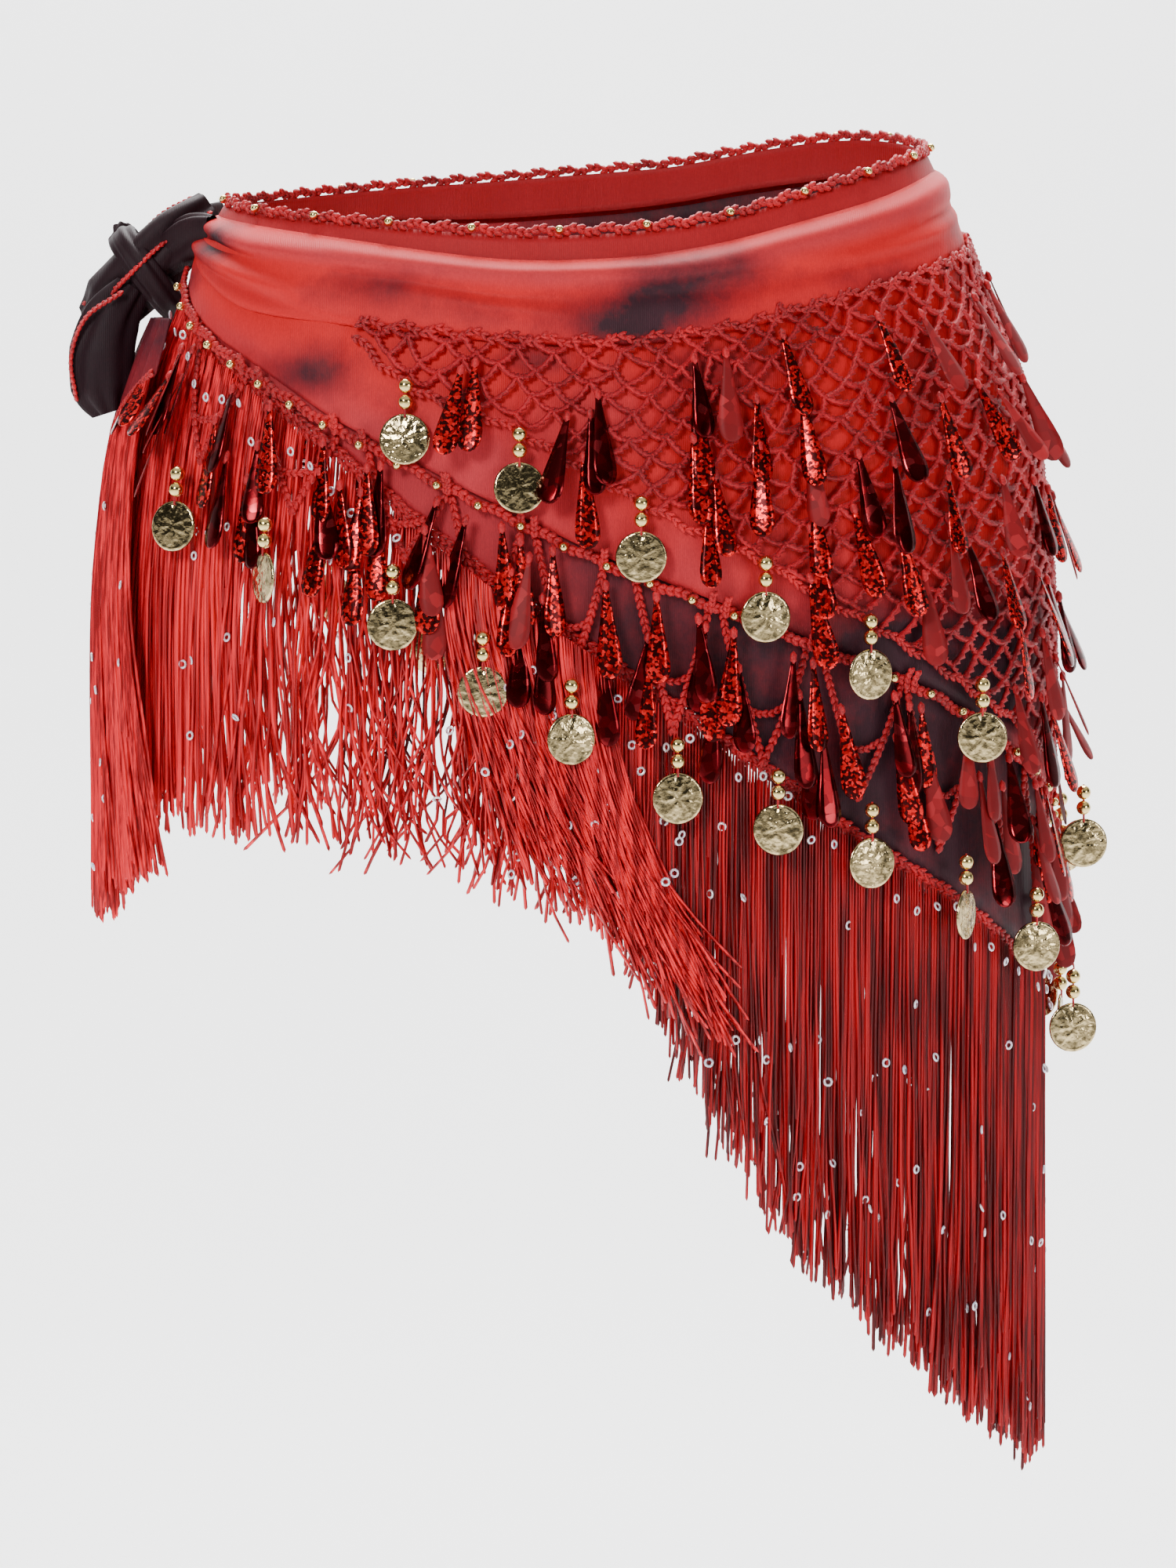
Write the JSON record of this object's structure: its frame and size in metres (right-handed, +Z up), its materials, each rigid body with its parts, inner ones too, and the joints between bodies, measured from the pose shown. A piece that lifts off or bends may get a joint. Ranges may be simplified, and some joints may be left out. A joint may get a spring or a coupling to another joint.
{
  "type": "belly dance hip scarf",
  "caption": "Hip scarf for belly dance, worn and knotted at the right hip: layered tie-dyed chiffon, beaded crochet net and loops, hanging gold coins and a long thread fringe.",
  "frame": {"origin": "middle of the waist opening, at the mean height of the crocheted waist edge", "axes": "+Z up, +X to the wearer's left hip, -Y the wearer's front; the knot is on -X"},
  "size_m": [0.4207, 0.2872, 0.5398],
  "materials": {
    "red_chiffon": "tie-dyed chiffon, red with plum-grey smudges, soft satin sheen",
    "plum_chiffon": "tie-dyed chiffon, dark plum and near black with rose",
    "rose_chiffon": "rose chiffon, the inside of the folded waist",
    "crochet": "crocheted red yarn",
    "net": "crocheted red diamond net",
    "fringe": "shiny twisted rayon fringe threads",
    "gold": "polished pale gold, stamped coins and smooth beads",
    "paillette_glitter": "holographic red glitter paillettes",
    "paillette_garnet": "dark garnet mirror paillettes",
    "paillette_matte": "satin red paillettes",
    "ring_sequin": "clear iridescent ring sequins"
  },
  "bodies": {
    "root": {"inner_strip": "rose_chiffon", "waist_edge": "crochet", "waist_band": "red_chiffon", "upper_panel": "red_chiffon", "under_panel": "plum_chiffon", "net_panel": "net", "upper_hem_cord": "crochet", "loop_chain": "crochet", "fringe_heading": "crochet", "fringe_front_end": "fringe", "fringe_front": "fringe", "fringe_left_front": "fringe", "fringe_left_hip": "fringe", "fringe_left_back": "fringe", "fringe_back": "fringe", "fringe_back_end": "fringe", "front_tail": "plum_chiffon", "front_tail_fringe": "fringe", "back_tail": "plum_chiffon", "back_tail_fringe": "fringe", "knot": "plum_chiffon", "knot_turn": "plum_chiffon", "knot_loop": "plum_chiffon"},
    "net_coin_1": {"net_coin_1": "gold"},
    "net_coin_2": {"net_coin_2": "gold"},
    "net_coin_3": {"net_coin_3": "gold"},
    "net_coin_4": {"net_coin_4": "gold"},
    "net_coin_5": {"net_coin_5": "gold"},
    "net_coin_6": {"net_coin_6": "gold"},
    "net_coin_7": {"net_coin_7": "gold"},
    "net_coin_8": {"net_coin_8": "gold"},
    "net_coin_9": {"net_coin_9": "gold"},
    "net_coin_10": {"net_coin_10": "gold"},
    "net_coin_11": {"net_coin_11": "gold"},
    "net_coin_12": {"net_coin_12": "gold"},
    "net_coin_13": {"net_coin_13": "gold"},
    "net_coin_14": {"net_coin_14": "gold"},
    "loop_coin_1": {"loop_coin_1": "gold"},
    "loop_coin_2": {"loop_coin_2": "gold"},
    "loop_coin_3": {"loop_coin_3": "gold"},
    "loop_coin_4": {"loop_coin_4": "gold"},
    "loop_coin_5": {"loop_coin_5": "gold"},
    "loop_coin_6": {"loop_coin_6": "gold"},
    "loop_coin_7": {"loop_coin_7": "gold"},
    "loop_coin_8": {"loop_coin_8": "gold"},
    "loop_coin_9": {"loop_coin_9": "gold"},
    "loop_coin_10": {"loop_coin_10": "gold"},
    "loop_coin_11": {"loop_coin_11": "gold"},
    "loop_coin_12": {"loop_coin_12": "gold"},
    "loop_coin_13": {"loop_coin_13": "gold"},
    "loop_coin_14": {"loop_coin_14": "gold"},
    "loop_coin_15": {"loop_coin_15": "gold"},
    "loop_coin_16": {"loop_coin_16": "gold"},
    "loop_coin_17": {"loop_coin_17": "gold"},
    "loop_coin_18": {"loop_coin_18": "gold"},
    "loop_coin_19": {"loop_coin_19": "gold"},
    "loop_coin_20": {"loop_coin_20": "gold"},
    "loop_coin_21": {"loop_coin_21": "gold"},
    "loop_coin_22": {"loop_coin_22": "gold"}
  },
  "joints": [
    {"name": "net_coin_1_swing", "type": "hinge", "parent": "root", "child": "net_coin_1", "pos_m": [-0.0678, -0.11602, -0.08206], "axis": [-0.989, 0.148, 0], "range_deg": [0, 60]},
    {"name": "net_coin_2_swing", "type": "hinge", "parent": "root", "child": "net_coin_2", "pos_m": [-0.02385, -0.12386, -0.10057], "axis": [-0.9999, -0.0116, 0], "range_deg": [0, 60]},
    {"name": "net_coin_3_swing", "type": "hinge", "parent": "root", "child": "net_coin_3", "pos_m": [0.02313, -0.12858, -0.127], "axis": [-0.9965, 0.0841, 0], "range_deg": [0, 60]},
    {"name": "net_coin_4_swing", "type": "hinge", "parent": "root", "child": "net_coin_4", "pos_m": [0.07127, -0.12395, -0.15036], "axis": [-0.9544, -0.2986, 0], "range_deg": [0, 60]},
    {"name": "net_coin_5_swing", "type": "hinge", "parent": "root", "child": "net_coin_5", "pos_m": [0.11237, -0.11395, -0.17333], "axis": [-0.9477, -0.3191, 0], "range_deg": [0, 60]},
    {"name": "net_coin_6_swing", "type": "hinge", "parent": "root", "child": "net_coin_6", "pos_m": [0.15724, -0.09411, -0.19943], "axis": [-0.7504, -0.661, 0], "range_deg": [0, 60]},
    {"name": "net_coin_7_swing", "type": "hinge", "parent": "root", "child": "net_coin_7", "pos_m": [0.20422, -0.0107, -0.24914], "axis": [-0.0606, -0.9982, 0], "range_deg": [0, 60]},
    {"name": "net_coin_8_swing", "type": "hinge", "parent": "root", "child": "net_coin_8", "pos_m": [0.19898, 0.03868, -0.2564], "axis": [0.2504, -0.9681, 0], "range_deg": [0, 60]},
    {"name": "net_coin_9_swing", "type": "hinge", "parent": "root", "child": "net_coin_9", "pos_m": [0.17016, 0.07934, -0.23012], "axis": [0.6212, -0.7837, 0], "range_deg": [0, 60]},
    {"name": "net_coin_10_swing", "type": "hinge", "parent": "root", "child": "net_coin_10", "pos_m": [0.13158, 0.11438, -0.20041], "axis": [0.8282, -0.5604, 0], "range_deg": [0, 60]},
    {"name": "net_coin_11_swing", "type": "hinge", "parent": "root", "child": "net_coin_11", "pos_m": [0.07974, 0.1327, -0.16551], "axis": [0.9722, -0.2342, 0], "range_deg": [0, 60]},
    {"name": "net_coin_12_swing", "type": "hinge", "parent": "root", "child": "net_coin_12", "pos_m": [0.02829, 0.14555, -0.13642], "axis": [0.9969, -0.0791, 0], "range_deg": [0, 60]},
    {"name": "net_coin_13_swing", "type": "hinge", "parent": "root", "child": "net_coin_13", "pos_m": [-0.02646, 0.13612, -0.10623], "axis": [0.9998, 0.0218, 0], "range_deg": [0, 60]},
    {"name": "net_coin_14_swing", "type": "hinge", "parent": "root", "child": "net_coin_14", "pos_m": [-0.07789, 0.12465, -0.08348], "axis": [0.9785, 0.2061, 0], "range_deg": [0, 60]},
    {"name": "loop_coin_1_swing", "type": "hinge", "parent": "root", "child": "loop_coin_1", "pos_m": [-0.15855, -0.07974, -0.11721], "axis": [-0.7237, 0.6901, 0], "range_deg": [0, 60]},
    {"name": "loop_coin_2_swing", "type": "hinge", "parent": "root", "child": "loop_coin_2", "pos_m": [-0.12268, -0.11085, -0.13594], "axis": [-0.9042, 0.427, 0], "range_deg": [0, 60]},
    {"name": "loop_coin_3_swing", "type": "hinge", "parent": "root", "child": "loop_coin_3", "pos_m": [-0.07274, -0.12448, -0.15334], "axis": [-0.9789, 0.2045, 0], "range_deg": [0, 60]},
    {"name": "loop_coin_4_swing", "type": "hinge", "parent": "root", "child": "loop_coin_4", "pos_m": [-0.03797, -0.12818, -0.17905], "axis": [-0.9962, 0.0875, 0], "range_deg": [0, 60]},
    {"name": "loop_coin_5_swing", "type": "hinge", "parent": "root", "child": "loop_coin_5", "pos_m": [-0.00372, -0.13319, -0.19708], "axis": [-1, 0.0051, 0], "range_deg": [0, 60]},
    {"name": "loop_coin_6_swing", "type": "hinge", "parent": "root", "child": "loop_coin_6", "pos_m": [0.03731, -0.12926, -0.22032], "axis": [-0.9964, -0.0851, 0], "range_deg": [0, 60]},
    {"name": "loop_coin_7_swing", "type": "hinge", "parent": "root", "child": "loop_coin_7", "pos_m": [0.07623, -0.12688, -0.2327], "axis": [-0.9772, -0.2125, 0], "range_deg": [0, 60]},
    {"name": "loop_coin_8_swing", "type": "hinge", "parent": "root", "child": "loop_coin_8", "pos_m": [0.11333, -0.11176, -0.24718], "axis": [-0.9252, -0.3795, 0], "range_deg": [0, 60]},
    {"name": "loop_coin_9_swing", "type": "hinge", "parent": "root", "child": "loop_coin_9", "pos_m": [0.15114, -0.09592, -0.26906], "axis": [-0.8081, -0.589, 0], "range_deg": [0, 60]},
    {"name": "loop_coin_10_swing", "type": "hinge", "parent": "root", "child": "loop_coin_10", "pos_m": [0.18103, -0.06768, -0.28487], "axis": [-0.5757, -0.8177, 0], "range_deg": [0, 60]},
    {"name": "loop_coin_11_swing", "type": "hinge", "parent": "root", "child": "loop_coin_11", "pos_m": [0.19819, -0.03852, -0.32115], "axis": [-0.2937, -0.9559, 0], "range_deg": [0, 60]},
    {"name": "loop_coin_12_swing", "type": "hinge", "parent": "root", "child": "loop_coin_12", "pos_m": [0.19642, 0.00343, -0.32272], "axis": [0.0156, -0.9999, 0], "range_deg": [0, 60]},
    {"name": "loop_coin_13_swing", "type": "hinge", "parent": "root", "child": "loop_coin_13", "pos_m": [0.19178, 0.04428, -0.31716], "axis": [0.3126, -0.9499, 0], "range_deg": [0, 60]},
    {"name": "loop_coin_14_swing", "type": "hinge", "parent": "root", "child": "loop_coin_14", "pos_m": [0.16922, 0.08253, -0.29655], "axis": [0.6429, -0.7659, 0], "range_deg": [0, 60]},
    {"name": "loop_coin_15_swing", "type": "hinge", "parent": "root", "child": "loop_coin_15", "pos_m": [0.13751, 0.11135, -0.27375], "axis": [0.8438, -0.5367, 0], "range_deg": [0, 60]},
    {"name": "loop_coin_16_swing", "type": "hinge", "parent": "root", "child": "loop_coin_16", "pos_m": [0.09593, 0.12731, -0.24649], "axis": [0.947, -0.3211, 0], "range_deg": [0, 60]},
    {"name": "loop_coin_17_swing", "type": "hinge", "parent": "root", "child": "loop_coin_17", "pos_m": [0.05588, 0.13831, -0.23171], "axis": [0.9879, -0.1549, 0], "range_deg": [0, 60]},
    {"name": "loop_coin_18_swing", "type": "hinge", "parent": "root", "child": "loop_coin_18", "pos_m": [0.01757, 0.14313, -0.21835], "axis": [0.9994, -0.0358, 0], "range_deg": [0, 60]},
    {"name": "loop_coin_19_swing", "type": "hinge", "parent": "root", "child": "loop_coin_19", "pos_m": [-0.02236, 0.14115, -0.19757], "axis": [0.9988, 0.0489, 0], "range_deg": [0, 60]},
    {"name": "loop_coin_20_swing", "type": "hinge", "parent": "root", "child": "loop_coin_20", "pos_m": [-0.0657, 0.1409, -0.1804], "axis": [0.9819, 0.1893, 0], "range_deg": [0, 60]},
    {"name": "loop_coin_21_swing", "type": "hinge", "parent": "root", "child": "loop_coin_21", "pos_m": [-0.10775, 0.12395, -0.15639], "axis": [0.9233, 0.384, 0], "range_deg": [0, 60]},
    {"name": "loop_coin_22_swing", "type": "hinge", "parent": "root", "child": "loop_coin_22", "pos_m": [-0.14825, 0.09627, -0.13456], "axis": [0.7643, 0.6449, 0], "range_deg": [0, 60]}
  ]
}
